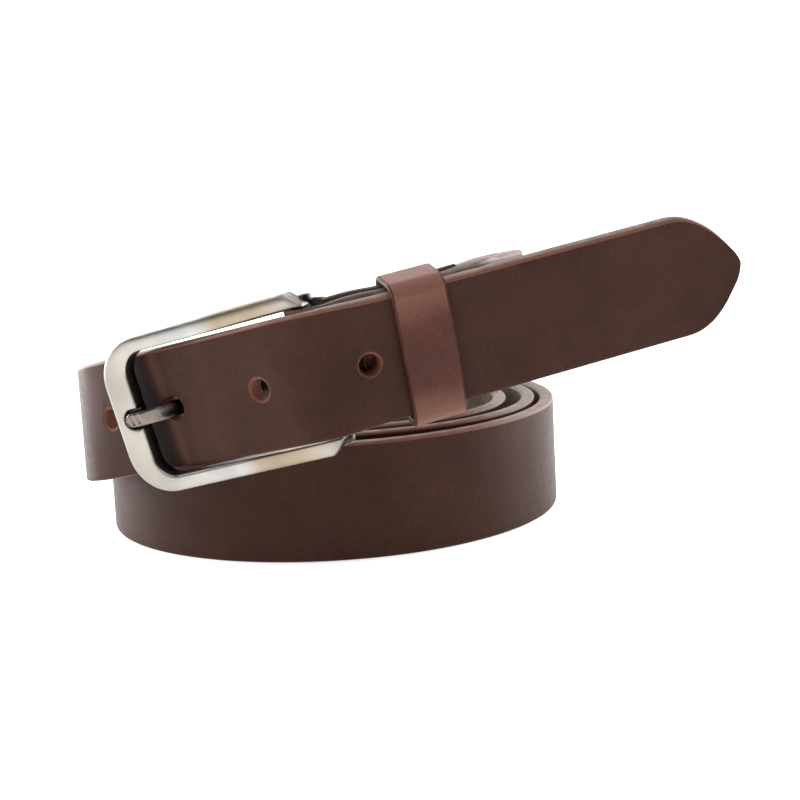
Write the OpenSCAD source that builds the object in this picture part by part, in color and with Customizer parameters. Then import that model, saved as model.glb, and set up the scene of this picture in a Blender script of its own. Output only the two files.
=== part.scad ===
// Coiled leather belt with a single-pin buckle, standing on the lower edge of its coil.
// Millimetres. X is to the right, -Y is the front, +Z is up.

/* [Strap] */
// Width of the strap
strap_w = 30; // [28:0.5:32]
// Thickness of the leather
strap_t = 3.8; // [3.4:0.1:4]
// Thickness of the thinned leather where it folds round the bar
fold_t = 2; // [1.8:0.1:2.2]
// Diameter of the punched holes
hole_d = 4.6; // [4:0.1:5]
// Distance between two holes
hole_pitch = 25; // [24:0.5:26]
// Distance from the first hole to the tip
tip_len = 94; // [85:1:100]
// Longest step between two sections of the strap
step_len = 6; // [4:1:9]

/* [Buckle] */
// Height of the frame over both arms
frame_h = 39.5; // [39:0.5:42]
// Distance from the hinge axis to the outside of the front bar
frame_len = 55.5; // [54:0.5:57]
// Thickness of the frame
frame_t = 4.5; // [4:0.1:5]
// Width of an arm
arm_w = 4; // [3.6:0.1:4.2]
// Width of the front bar
bar_w = 7; // [6:0.5:7.5]
// Outer radius of the two front corners
corner_r = 11; // [9:0.5:13]
// Radius of the hinge bar
pin_r = 1.6; // [1.4:0.1:1.8]
// Width of the prong
prong_w = 3.8; // [3.4:0.1:4]

/* [Keeper] */
// Length of the loop along the strap
keeper_w = 13; // [12:0.5:14]
// Thickness of the loop's leather
keeper_t = 1.6; // [1.4:0.1:2]
// Space between the loop and the edges of the strap
keeper_gap = 1; // [0.8:0.1:1.2]

/* [Stitching] */
// Radius of the thread
thread_r = 0.4; // [0.3:0.05:0.5]
// Distance between two stitch holes
stitch_pitch = 4; // [3:0.5:5]

/* [Hidden] */
$fn = 64;
eps = 0.01;

// Where the coil's own axis stands, so that the origin is under the middle of the whole belt
coil_at = [-17, 14, 0];
half_w = strap_w / 2;

// The free end, straight from just behind the first hole to the tip: place and turns of its frame.
// In this frame X runs to the tip, -Y is outward and Z is across the strap; the first hole is at X = 0.
tail_at = [13, -90, 53.3];
tail_turn = [10.5, -10.5, 14];
// The buckle, about its hinge axis: X runs to the tip, -Y is outward and Z is along the hinge bar.
heel_at = [2.5, -83.5, 51.5];
heel_turn = [5, -13, -22];

function rot_x(p, a) = [p[0], p[1] * cos(a) - p[2] * sin(a), p[1] * sin(a) + p[2] * cos(a)];
function rot_y(p, a) = [p[0] * cos(a) + p[2] * sin(a), p[1], p[2] * cos(a) - p[0] * sin(a)];
function rot_z(p, a) = [p[0] * cos(a) - p[1] * sin(a), p[0] * sin(a) + p[1] * cos(a), p[2]];
function turned(p, turn) = rot_z(rot_y(rot_x(p, turn[0]), turn[1]), turn[2]);
function unit(v) = v / norm(v);

// A station of the strap is [middle of the section, direction across the strap, thickness].
up = [0, 0, 1];
tail_up = turned(up, tail_turn);
heel_up = turned(up, heel_turn);
mid_up = unit(heel_up + tail_up);
near_tail_up = unit(mid_up + tail_up);
near_heel_up = unit(mid_up + heel_up);
function on_tail(along, out, t = strap_t, across = tail_up) =
    [tail_at + turned([along, -out, 0], tail_turn), across, t];
function on_heel(along, out, t = strap_t, across = heel_up) =
    [heel_at + turned([along, -out, 0], heel_turn), across, t];
// Beside the fold the middle of the strap keeps to the plane of the free end, a little lower.
fold_drop = 0.9;
function on_fold(along, out, t = strap_t, across = heel_up, drop = fold_drop) =
    let (spot = on_heel(along, out)[0])
    [spot - heel_up * (tail_up * (spot - tail_at) / (tail_up * heel_up) + drop), across, t];
function on_coil(angle, r, z) = [[r * cos(angle), r * sin(angle), z], up, strap_t];

// The free end lies over the fold at the hinge bar and dips behind the front bar.
tail_route = [
    on_tail(tip_len, 0), on_tail(70, 0), on_tail(46, 0), on_tail(23, 0), on_tail(4, 0),
    on_tail(-2, -0.1, across = near_tail_up), on_fold(3, 7.3, across = near_heel_up, drop = 0.3),
    on_heel(-4, 7.7), on_heel(-14, 5.9), on_heel(-26, 3.7), on_heel(-37, 1.3),
    on_heel(-45, -0.9), on_heel(-53, -3.4)
];
// Round the left side and down to the floor
down_route = [
    [[-59, -46, 35.5], up, strap_t],
    on_coil(200, 69.5, 31.5), on_coil(180, 67.5, 28), on_coil(155, 67, 23.5),
    on_coil(130, 67, 19.5), on_coil(105, 67, 16.8), on_coil(80, 66.5, 15.5)
];
// Radius of the middle of the strap at each quarter of a turn, from the right side inwards
wind_r = [62, 62, 62, 61, 56.8, 49, 50, 50, 48.6, 40];
wind_step = 22.5;
function wind_at(turn) =
    let (i = min(floor(turn / 90), len(wind_r) - 2), f = turn / 90 - i)
    wind_r[i] + (wind_r[i + 1] - wind_r[i]) * (1 - cos(180 * f)) / 2;
coil_route = [
    on_coil(50, 65, 15.1), on_coil(25, 63, half_w),
    for (turn = [0 : wind_step : 810]) on_coil(-turn, wind_at(turn), half_w)
];
// The inner end climbs inside the coil and comes forward behind the free end.
rise_route = [
    [[-20, -35, 17.5], up, strap_t], [[-35, -16, 22.5], up, strap_t], [[-36, 10, 29], up, strap_t],
    [[-20, 31, 35], up, strap_t], [[6, 38, 41.5], up, strap_t], [[30, 24, 48.5], up, strap_t],
    [[45, -2, 55], up, strap_t], [[51, -28, 58], up, strap_t], [[50.5, -50, 59.5], up, strap_t],
    [[44.5, -67, 59.5], unit(up + tail_up), strap_t]
];
// Behind the free end to the hinge bar, thinner towards the fold. Each layer keeps clear of the next.
layer_gap = 0.7;
strand_t = 2.8;
strand_out = -(strap_t + strand_t) / 2 - layer_gap;
flap_out = strand_out - (strand_t + fold_t) / 2 - layer_gap;
front_seam_at = 0;
rear_seam_at = 23.5;
strand_route = [
    on_tail(29, strand_out - 1.7, strap_t), on_tail(rear_seam_at, strand_out - 0.3, strap_t - 0.4),
    on_tail(14, strand_out, strand_t), on_tail(6, strand_out, strand_t),
    on_tail(front_seam_at, strand_out - 0.4, strand_t - 0.5, near_tail_up)
];
fold_r = pin_r + 0.75 + fold_t / 2;
fold_route = [
    on_fold(4.2, 1.8, fold_t, near_heel_up),
    for (a = [90 : 30 : 270]) on_fold(fold_r * cos(a), fold_r * sin(a), fold_t)
];
// The flap behind the strand, sewn to it by two seams
flap_route = [
    on_fold(3.2, -3.2, fold_t, near_heel_up), on_tail(front_seam_at, flap_out - 0.8, fold_t, near_tail_up),
    on_tail(6, flap_out, fold_t), on_tail(14, flap_out, fold_t),
    on_tail(rear_seam_at + 3, flap_out - 1, fold_t - 0.4)
];
stations = concat(tail_route, down_route, coil_route, rise_route, strand_route, fold_route, flap_route);

// Smooth curve through the stations: a cubic between each pair, its slopes taken from the neighbours
last = len(stations) - 1;
function gap_at(i) = norm(stations[i + 1][0] - stations[i][0]);
function slope_at(i) =
    i == 0 ? (stations[1][0] - stations[0][0]) / gap_at(0) :
    i == last ? (stations[last][0] - stations[last - 1][0]) / gap_at(last - 1) :
    let (a = gap_at(i - 1), b = gap_at(i))
    ((stations[i][0] - stations[i - 1][0]) * b / a + (stations[i + 1][0] - stations[i][0]) * a / b) / (a + b);
function curve_at(i, f) =
    let (g = gap_at(i), f2 = f * f, f3 = f * f * f)
    stations[i][0] * (2 * f3 - 3 * f2 + 1) + slope_at(i) * g * (f3 - 2 * f2 + f)
    + stations[i + 1][0] * (3 * f2 - 2 * f3) + slope_at(i + 1) * g * (f3 - f2);
// Nothing dips below the floor.
function grounded(p) = [p[0], p[1], max(p[2], half_w)];
function blend_at(i, f, k) = stations[i][k] * (1 - f) + stations[i + 1][k] * f;
route = [
    for (i = [0 : last - 1])
        let (n = ceil(gap_at(i) / step_len))
        for (j = [0 : n - 1]) [grounded(curve_at(i, j / n)), blend_at(i, j / n, 1), blend_at(i, j / n, 2)],
    stations[last]
];

// Four corners of a section: outer top, outer bottom, inner bottom, inner top
function corners(i) =
    let (
        ahead = route[min(i + 1, len(route) - 1)][0],
        behind = route[max(i - 1, 0)][0],
        along = unit(ahead - behind),
        across = unit(route[i][1] - along * (route[i][1] * along)),
        out = cross(across, along),
        mid = route[i][0],
        t = route[i][2] / 2
    )
    [
        mid + out * t + across * half_w, mid + out * t - across * half_w,
        mid - out * t - across * half_w, mid - out * t + across * half_w
    ];

module swept_strap() {
    rings = len(route);
    points = [for (i = [0 : rings - 1]) each corners(i)];
    sides = [
        for (i = [0 : rings - 2], k = [0 : 3])
            let (a = 4 * i + k, b = 4 * i + (k + 1) % 4)
            each [[a, b, b + 4], [a, b + 4, a + 4]]
    ];
    ends = [[3, 2, 1, 0], [4 * rings - 4, 4 * rings - 3, 4 * rings - 2, 4 * rings - 1]];
    polyhedron(points, concat(sides, ends));
}

module in_tail() {
    translate(tail_at) rotate(tail_turn) children();
}

module in_heel() {
    translate(heel_at) rotate(heel_turn) children();
}

// Everything stands round the coil's axis until it is moved to the final origin.
module placed() {
    translate(coil_at) children();
}

// A bar from one point to another, its ends square
module rod(from, to, r) {
    reach = to - from;
    side = acos(reach[2] / norm(reach));
    translate(from) rotate([0, side, atan2(reach[1], reach[0])]) cylinder(r = r, h = norm(reach));
}

// Outline of the rounded point, in the plane of the strap; the tip is at X = 0
nose_len = 17.5;
low_nose_len = 15;
module tip_outline() {
    turns = [0 : 6 : 90];
    upper = [for (a = turns) [-nose_len * pow(a / 90, 1.25), half_w * sin(a)]];
    lower = [for (a = turns) [-low_nose_len * pow(1 - a / 90, 1.4), -half_w * cos(a)]];
    polygon(concat(upper, [[-nose_len - 4, half_w + 1], [-nose_len - 4, -half_w - 1], [-low_nose_len, -half_w - 1]], lower));
}

module tip_waste() {
    translate([tip_len, 0, 0]) rotate([90, 0, 0])
        linear_extrude(4 * strap_t, center = true)
            difference() {
                translate([eps - nose_len, -strap_w]) square([30, 2 * strap_w]);
                tip_outline();
            }
}

// A punched hole across the strap at a place of its route
module punched(spot, turn) {
    translate(spot) rotate(turn) rotate([90, 0, 0]) cylinder(d = hole_d, h = 3 * strap_t, center = true);
}

// The prong: along the hinge bar's plane it runs behind the free end, climbs through the third hole
// and lies in the notch of the front bar.
prong_t = 2.6;
ramp_turn = 20;
ramp_foot = [-38, -3.1];
ramp_head = [-41, 5];
prong_tip_at = -52.2;
// The hole leans with the prong and is longer than it, so that the prong can lift a little.
module prong_hole() {
    spare = 0.9;
    middle = (ramp_foot + ramp_head) / 2;
    translate([middle[0], -middle[1], 0]) rotate([90, 0, -ramp_turn])
        for (x = [0, spare]) translate([x, 0, 0]) cylinder(d = hole_d + 0.6, h = 7.6, center = true);
}

// Slot through the fold, where the prong's eye sits on the hinge bar
slot_w = prong_w + 1.4;
module fold_slot() {
    translate([-6, -fold_r - fold_t / 2 - 0.1, -slot_w / 2]) cube([10, 2 * fold_r + fold_t + 0.2, slot_w]);
}

// The edges of the strap are pared to clear the arms beside the hinge bar.
module arm_room() {
    for (side = [0, 1]) mirror([0, 0, side]) translate([-7, -6.2, 15.5]) cube([10.5, 11, 6]);
}

// The last two holes are on the left bend.
fourth_hole_at = on_heel(-62.5, -8.2)[0];
fourth_hole_turn = [0, -8, -45];
fifth_hole_at = [-63.7, -32.4, 32.9];
fifth_hole_turn = [0, 0, -78];

module strap() {
    color("#4a2f28") placed() difference() {
        swept_strap();
        in_tail() tip_waste();
        punched(tail_at, tail_turn);
        punched(on_heel(-13, 5.7)[0], heel_turn + [0, 0, -6]);
        punched(fourth_hole_at, fourth_hole_turn);
        punched(fifth_hole_at, fifth_hole_turn);
        in_heel() prong_hole();
        in_heel() fold_slot();
        in_heel() arm_room();
        in_heel() cylinder(r = pin_r + 0.08, h = frame_h, center = true);
    }
}

// Frame: the front bar and the two arms lie between these two heights over the hinge axis.
frame_back = 1;
frame_front = frame_back + frame_t;
inner_h = frame_h - 2 * arm_w;
inner_r = 5.5;
arm_end = 2.6;

// Half of a plate with one rounded corner, from the front bar's side to the arms' ends
module half_plate(x0, x1, h, r) {
    translate([x0 + r, 0]) square([x1 - x0 - r, h]);
    translate([x0, 0]) square([r + eps, h - r]);
    translate([x0 + r, h - r]) circle(r = r);
}

module frame_half() {
    difference() {
        half_plate(-frame_len, arm_end, frame_h / 2, corner_r);
        half_plate(bar_w - frame_len, arm_end + 1, inner_h / 2, inner_r);
        // The arms' ends are cut at a slant, the inner side longest.
        polygon([
            [arm_end + 1, inner_h / 2 + 1], [arm_end, inner_h / 2 + 1],
            [-1.4, frame_h / 2 + eps], [arm_end + 1, frame_h / 2 + eps]
        ]);
        translate([-frame_len - 1, -corner_r]) square([frame_len + arm_end + 3, corner_r]);
    }
}

ear_r = 2.8;
module buckle_frame() {
    color("#cdc3b8") placed() in_heel() difference() {
        union() {
            translate([0, -frame_back, 0]) rotate([90, 0, 0]) linear_extrude(frame_t) {
                frame_half();
                mirror([0, 1]) frame_half();
            }
            for (side = [0, 1]) mirror([0, 0, side]) {
                translate([0, 0, inner_h / 2]) cylinder(r = ear_r, h = arm_w - 0.6);
                translate([-ear_r, -frame_back - 1, inner_h / 2]) cube([arm_end, frame_back + 1, arm_w - 0.6]);
            }
        }
        cylinder(r = pin_r, h = frame_h - 3, center = true);
        // The notch for the prong's end, rounded and closed towards the outside
        notch_w = prong_w + 0.8;
        translate([prong_tip_at + prong_w / 2, -frame_front - 1, 0]) rotate([-90, 0, 0]) {
            cylinder(d = notch_w, h = 3.2);
            translate([0, -notch_w / 2, 0]) cube([bar_w, notch_w, 3.2]);
        }
    }
}

module heel_bar() {
    color("#8f8a84") placed() in_heel() cylinder(r = pin_r, h = frame_h - 3, center = true);
}

// Side view of the prong's shank: X as in the buckle's frame, Y is outward
module shank_side() {
    h = prong_t / 2;
    lean = h / cos(ramp_turn);
    polygon([
        [-1.5, -2.6], [-20, -2.9 - h], [ramp_foot[0] - lean * 0.5, ramp_foot[1] - h],
        [ramp_head[0] - lean, ramp_head[1] - h], [prong_tip_at, ramp_head[1] - h],
        [prong_tip_at, ramp_head[1] + h], [ramp_head[0] + lean * 0.5, ramp_head[1] + h],
        [ramp_foot[0] + lean, ramp_foot[1] + h], [-20, -2.9 + h], [-1.5, 0.2]
    ]);
}

module prong() {
    eye_r = 3.2;
    color("#55504d") placed() in_heel() difference() {
        union() {
            cylinder(r = eye_r, h = prong_w, center = true);
            intersection() {
                mirror([0, 1, 0]) linear_extrude(prong_w, center = true) shank_side();
                union() {
                    translate([prong_tip_at + prong_w / 2, -20, -prong_w / 2]) cube([60, 40, prong_w]);
                    translate([prong_tip_at + prong_w / 2, 0, 0]) rotate([90, 0, 0])
                        cylinder(d = prong_w, h = 40, center = true);
                }
            }
        }
        cylinder(r = pin_r + 0.05, h = prong_w + 1, center = true);
    }
}

// Keeper: a loop round the free end and the sewn strand behind it
keeper_at = 14;
// The loop hangs a little low on the strap.
keeper_drop = 0.5;
keeper_front = strap_t / 2 + 0.6;
keeper_back = flap_out - 0.1 - fold_t / 2 - 0.6;
keeper_in_d = keeper_front - keeper_back;
keeper_in_h = strap_w + 2 * keeper_gap;
keeper_slit = 0.2;

module rounded_plate(w, h, r) {
    square([w - 2 * r, h], center = true);
    square([w, h - 2 * r], center = true);
    for (x = [-1, 1], y = [-1, 1]) translate([x * (w / 2 - r), y * (h / 2 - r)]) circle(r = r);
}

module keeper_loop() {
    color("#6e4335") placed() in_tail() difference() {
        translate([keeper_at, -(keeper_front + keeper_back) / 2, -keeper_drop]) rotate([0, 90, 0])
            linear_extrude(keeper_w, center = true) difference() {
                rounded_plate(keeper_in_h + 2 * keeper_t, keeper_in_d + 2 * keeper_t, 3.6);
                rounded_plate(keeper_in_h, keeper_in_d, 1);
            }
        // The two ends of the loop meet at the back.
        translate([0, -keeper_back, -keeper_slit / 2]) cube([40, 3 * keeper_t, keeper_slit]);
    }
}

// Wire staple across the joint: a crown on the outside and two legs through the leather
module keeper_staple() {
    wire_r = 0.45;
    leg_z = 4;
    back_y = -keeper_back + keeper_t + wire_r;
    color("#b9b4ae") placed() in_tail() for (x = [-3.5, 3.5]) translate([keeper_at + x, 0, 0]) {
        rod([0, back_y, -leg_z - wire_r], [0, back_y, leg_z + wire_r], wire_r);
        for (z = [-leg_z, leg_z]) rod([0, back_y, z], [0, -keeper_back + 0.3, z], wire_r);
    }
}

// A seam across the strap: a leg at each hole, and bars along the front and the back by turns
module seam(at, front, back) {
    count = 3;
    sunk = 0.15;
    y0 = -front + sunk;
    y1 = -back - sunk;
    color("#2b1c18") placed() in_tail() {
        for (i = [-count : count]) {
            z = i * stitch_pitch;
            rod([at, y0, z], [at, y1, z], thread_r);
            if (i < count) {
                rod([at, y0, z], [at, y0, z + stitch_pitch], thread_r);
                rod([at, y1, z], [at, y1, z + stitch_pitch], thread_r);
            }
        }
    }
}

module front_seam() {
    seam(front_seam_at, strand_out - 0.4 + (strand_t - 0.5) / 2, flap_out - 0.8 - fold_t / 2);
}

module rear_seam() {
    seam(rear_seam_at, strand_out - 0.3 + strap_t / 2 - 0.2, flap_out - 0.7 - fold_t / 2 + 0.1);
}

strap();
buckle_frame();
heel_bar();
prong();
keeper_loop();
keeper_staple();
front_seam();
rear_seam();
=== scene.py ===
# Leather belt, fastened and coiled, standing on its lower edge. Metres, Z up, seen from -Y.
import math
import bpy
import bmesh
import numpy as np
from mathutils import Matrix, Vector
from mathutils.kdtree import KDTree


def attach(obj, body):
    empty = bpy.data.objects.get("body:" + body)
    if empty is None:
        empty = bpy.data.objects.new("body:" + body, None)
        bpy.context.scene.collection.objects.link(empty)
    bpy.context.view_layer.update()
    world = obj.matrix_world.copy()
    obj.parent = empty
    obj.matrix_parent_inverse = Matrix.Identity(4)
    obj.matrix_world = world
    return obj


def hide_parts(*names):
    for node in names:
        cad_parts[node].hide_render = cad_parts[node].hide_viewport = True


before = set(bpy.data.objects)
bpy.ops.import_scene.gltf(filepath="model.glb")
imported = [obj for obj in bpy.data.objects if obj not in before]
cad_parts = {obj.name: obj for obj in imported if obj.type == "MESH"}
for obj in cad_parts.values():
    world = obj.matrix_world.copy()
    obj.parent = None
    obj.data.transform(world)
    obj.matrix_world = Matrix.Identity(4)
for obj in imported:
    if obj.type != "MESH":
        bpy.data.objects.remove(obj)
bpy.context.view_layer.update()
print("frame loaded", sorted(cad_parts))


viewValues = {
    "place": (0.00284, -0.41504, 0.09918),
    "lens": 67.5,
    "pitch": 80.82,  # from straight down
    "roll": -3.02,
}
lightValues = {
    # name: place, size x, size y, power, colour, looks at
    "topSoftbox": ((0.05, -0.05, 0.75), 0.9, 0.9, 4.0, (1.0, 0.99, 0.97), (0, 0, 0)),
    "leftPanel": ((-0.6, 0.3, 0.22), 0.8, 0.7, 12.0, (0.97, 0.98, 1.0), (0, 0, 0.03)),
    "rightPanel": ((0.6, 0.3, 0.22), 0.8, 0.7, 9.0, (0.97, 0.98, 1.0), (0, 0, 0.03)),
    "frontFill": ((-0.25, -0.75, 0.45), 0.8, 0.8, 1.9, (1.0, 0.97, 0.95), (0, 0, 0.04)),
}
roomValues = {
    "worldColour": (0.9, 0.92, 0.95),
    "worldStrength": 0.12,
    "floorColour": (0.93, 0.93, 0.93),
    "glow": 0.55,
}


def aim(obj, target):
    way = Vector(target) - obj.location
    obj.rotation_euler = way.to_track_quat("-Z", "Y").to_euler()


def makeCamera():
    lens = bpy.data.cameras.new("viewCamera")
    lens.lens = viewValues["lens"]
    lens.sensor_width = 36.0
    lens.clip_start = 0.01
    camera = bpy.data.objects.new("viewCamera", lens)
    bpy.context.scene.collection.objects.link(camera)
    turn = Matrix.Rotation(math.radians(viewValues["pitch"]), 4, "X") @ Matrix.Rotation(
        math.radians(viewValues["roll"]), 4, "Z")
    camera.matrix_world = Matrix.Translation(viewValues["place"]) @ turn
    bpy.context.scene.camera = camera


def makeLights():
    for name, (place, wide, deep, power, colour, target) in lightValues.items():
        lamp = bpy.data.lights.new(name, "AREA")
        lamp.shape = "RECTANGLE"
        lamp.size, lamp.size_y = wide, deep
        lamp.energy = power
        lamp.color = colour
        obj = bpy.data.objects.new(name, lamp)
        bpy.context.scene.collection.objects.link(obj)
        obj.location = place
        aim(obj, target)
    world = bpy.data.worlds.new("studioAir")
    world.use_nodes = True
    air = world.node_tree.nodes["Background"]
    setInputs(air, Color=(*roomValues["worldColour"], 1), Strength=roomValues["worldStrength"])
    bpy.context.scene.world = world
    bpy.context.scene.view_settings.view_transform = "Standard"


def newMaterial(name):
    material = bpy.data.materials.new(name)
    material.use_nodes = True
    tree = material.node_tree
    return material, tree, tree.nodes["Principled BSDF"]


def addNode(tree, kind, place=(0, 0), **values):
    node = tree.nodes.new(kind)
    node.location = place
    for key, value in values.items():
        setattr(node, key, value)
    return node


def newGroup(name, inputs, outputs):
    group = bpy.data.node_groups.new(name, "ShaderNodeTree")
    for label, kind, value in inputs:
        socket = group.interface.new_socket(label, in_out="INPUT", socket_type=kind)
        if value is not None:
            socket.default_value = value
    for label, kind in outputs:
        group.interface.new_socket(label, in_out="OUTPUT", socket_type=kind)
    return group, addNode(group, "NodeGroupInput", (-900, 0)), addNode(group, "NodeGroupOutput", (700, 0))


def useGroup(tree, group, place, **values):
    node = addNode(tree, "ShaderNodeGroup", place, node_tree=group)
    for key, value in values.items():
        node.inputs[key].default_value = value
    return node


def mathNode(tree, kind, a, b, place=(0, 0)):
    node = addNode(tree, "ShaderNodeMath", place, operation=kind)
    for socket, value in zip(node.inputs, (a, b)):
        if isinstance(value, (int, float)):
            socket.default_value = value
        else:
            tree.links.new(value, socket)
    return node.outputs[0]


def mixColour(tree, factor, a, b, place=(0, 0), kind="MIX"):
    node = addNode(tree, "ShaderNodeMix", place, data_type="RGBA", blend_type=kind)
    for socket, value in ((node.inputs[0], factor), (node.inputs[6], a), (node.inputs[7], b)):
        if isinstance(value, bpy.types.NodeSocket):
            tree.links.new(value, socket)
        else:
            socket.default_value = value if isinstance(value, (int, float)) else (*value, 1)
    return node.outputs[2]


def objectSpace(tree):
    return addNode(tree, "ShaderNodeTexCoord", (-1100, 0)).outputs["Object"]


def setInputs(node, **values):
    for key, value in values.items():
        node.inputs[key.replace("_", " ")].default_value = value


def remap(tree, value, low, high, place, side="From"):
    # low to high becomes 0 to 1, or with side "To" the other way round
    node = addNode(tree, "ShaderNodeMapRange", place)
    node.inputs[side + " Min"].default_value = low
    node.inputs[side + " Max"].default_value = high
    tree.links.new(value, node.inputs["Value"])
    return node.outputs[0]


def markParts(tree, name, high):
    # the three shares that every point of the mesh carries under this name
    zone = addNode(tree, "ShaderNodeAttribute", (-1000, high), attribute_name=name)
    split = addNode(tree, "ShaderNodeSeparateXYZ", (-800, high))
    tree.links.new(zone.outputs["Vector"], split.inputs[0])
    return split.outputs


def makeLeatherGrain():
    # fine pores and pebbles of a dressed hide: a height, and a mask of the hollows
    group, given, out = newGroup(
        "leatherGrain",
        [("Place", "NodeSocketVector", None), ("Pore size", "NodeSocketFloat", 1500.0),
         ("Pebble size", "NodeSocketFloat", 620.0)],
        [("Height", "NodeSocketFloat"), ("Hollows", "NodeSocketFloat")],
    )
    warp = addNode(group, "ShaderNodeTexNoise", (-700, -200))
    setInputs(warp, Scale=260.0, Detail=2.0)
    group.links.new(given.outputs["Place"], warp.inputs["Vector"])
    soft = addNode(group, "ShaderNodeVectorMath", (-520, -200), operation="SCALE")
    setInputs(soft, Scale=0.0009)
    group.links.new(warp.outputs["Color"], soft.inputs[0])
    moved = addNode(group, "ShaderNodeVectorMath", (-360, -100), operation="ADD")
    group.links.new(given.outputs["Place"], moved.inputs[0])
    group.links.new(soft.outputs[0], moved.inputs[1])
    pebbles = addNode(group, "ShaderNodeTexVoronoi", (-180, 120), feature="SMOOTH_F1")
    setInputs(pebbles, Smoothness=0.35)
    group.links.new(moved.outputs[0], pebbles.inputs["Vector"])
    group.links.new(given.outputs["Pebble size"], pebbles.inputs["Scale"])
    pores = addNode(group, "ShaderNodeTexNoise", (-180, -220))
    setInputs(pores, Detail=4.0, Roughness=0.62)
    group.links.new(moved.outputs[0], pores.inputs["Vector"])
    group.links.new(given.outputs["Pore size"], pores.inputs["Scale"])
    domes = mathNode(group, "MULTIPLY", pebbles.outputs["Distance"], -0.55, (60, 120))
    grit = mathNode(group, "MULTIPLY", pores.outputs["Fac"], 0.75, (60, -120))
    height = mathNode(group, "ADD", domes, grit, (240, 0))
    group.links.new(height, out.inputs["Height"])
    hollow = remap(group, pores.outputs["Fac"], 0.58, 0.34, (300, -220))
    group.links.new(hollow, out.inputs["Hollows"])
    return group


def makeHideMottle():
    # slow cloudy change of the dye, and faint streaks from the dressing
    group, given, out = newGroup(
        "hideMottle",
        [("Place", "NodeSocketVector", None), ("Cloud size", "NodeSocketFloat", 55.0)],
        [("Clouds", "NodeSocketFloat"), ("Streaks", "NodeSocketFloat")],
    )
    clouds = addNode(group, "ShaderNodeTexNoise", (-300, 120))
    setInputs(clouds, Detail=5.0, Roughness=0.6)
    group.links.new(given.outputs["Place"], clouds.inputs["Vector"])
    group.links.new(given.outputs["Cloud size"], clouds.inputs["Scale"])
    spread = remap(group, clouds.outputs["Fac"], 0.3, 0.7, (0, 120))
    group.links.new(spread, out.inputs["Clouds"])
    squash = addNode(group, "ShaderNodeMapping", (-520, -160))
    setInputs(squash, Scale=(1, 1, 5))
    group.links.new(given.outputs["Place"], squash.inputs["Vector"])
    streaks = addNode(group, "ShaderNodeTexNoise", (-300, -160))
    setInputs(streaks, Scale=170.0, Detail=3.0)
    group.links.new(squash.outputs[0], streaks.inputs["Vector"])
    group.links.new(streaks.outputs["Fac"], out.inputs["Streaks"])
    return group


def makeBrushedLines():
    # hair lines of satin metal along one direction
    group, given, out = newGroup(
        "brushedLines",
        [("Place", "NodeSocketVector", None), ("Fineness", "NodeSocketFloat", 900.0)],
        [("Lines", "NodeSocketFloat"), ("Smears", "NodeSocketFloat")],
    )
    stretch = addNode(group, "ShaderNodeMapping", (-560, 60))
    setInputs(stretch, Scale=(0.06, 0.5, 1.0), Rotation=(0, -0.23, -0.38))
    group.links.new(given.outputs["Place"], stretch.inputs["Vector"])
    lines = addNode(group, "ShaderNodeTexNoise", (-300, 120))
    setInputs(lines, Detail=4.0)
    group.links.new(stretch.outputs[0], lines.inputs["Vector"])
    group.links.new(given.outputs["Fineness"], lines.inputs["Scale"])
    group.links.new(lines.outputs["Fac"], out.inputs["Lines"])
    smears = addNode(group, "ShaderNodeTexNoise", (-300, -160))
    setInputs(smears, Scale=70.0, Detail=3.0)
    group.links.new(given.outputs["Place"], smears.inputs["Vector"])
    group.links.new(smears.outputs["Fac"], out.inputs["Smears"])
    return group


leatherGrain = makeLeatherGrain()
hideMottle = makeHideMottle()
brushedLines = makeBrushedLines()


leatherValues = {
    "strapDark": (0.038, 0.0157, 0.0104),
    "strapLight": (0.058, 0.0246, 0.0168),
    "strapRough": 0.42,
    "strapPores": (0.3, 2300.0, 900.0),  # depth, then pores and pebbles along a metre
    "keeperDark": (0.064, 0.0180, 0.0108),
    "keeperLight": (0.122, 0.0390, 0.0240),
    "keeperRough": 0.36,
    "keeperPores": (0.55, 1500.0, 520.0),
    "wallPores": (0.5, 2000.0, 800.0),
    "strapHighlightShade": ((0.135, 0.058, 0.042), (0.012, 0.010, 0.011)),  # painted highlight on the bend, painted shade in the hollow by the bar
    # painted highlight at the loop's edges, and the colour of its darker middle
    "keeperHighlightAndDark": ((0.23, 0.108, 0.082), (0.042, 0.0125, 0.0075)),
    "keeperRimDark": (0.045, 0.017, 0.011),
    "keeperRimLight": (0.100, 0.040, 0.028),
    "holeDark": (0.10, 0.036, 0.022),
    "holeLight": (0.20, 0.080, 0.052),
    "edgeDark": (0.085, 0.050, 0.040),
    "edgeLight": (0.21, 0.137, 0.105),
    # painted shade on the edges of the strap's last stretch, behind the keeper and round the pin
    "edgeShadeColour": (0.052, 0.030, 0.023),
    # painted highlight: reddish line on the upper bevel next to the grain side
    "bevelHighlightRed": (0.16, 0.058, 0.036),
    "fleshDark": (0.045, 0.034, 0.021),
    "fleshLight": (0.135, 0.105, 0.070),
}


def leatherParts(tree, poreSize, pebbleSize, cloudSize=55.0):
    grain = useGroup(tree, leatherGrain, (-800, 0), **{"Pore size": poreSize, "Pebble size": pebbleSize})
    mottle = useGroup(tree, hideMottle, (-800, 260), **{"Cloud size": cloudSize})
    space = objectSpace(tree)
    tree.links.new(space, grain.inputs["Place"])
    tree.links.new(space, mottle.inputs["Place"])
    return grain.outputs, mottle.outputs


def bumpInto(tree, shader, height, strength, distance, place=(-260, -320)):
    bump = addNode(tree, "ShaderNodeBump", place)
    setInputs(bump, Strength=strength, Distance=distance)
    tree.links.new(height, bump.inputs["Height"])
    tree.links.new(bump.outputs["Normal"], shader.inputs["Normal"])


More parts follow.
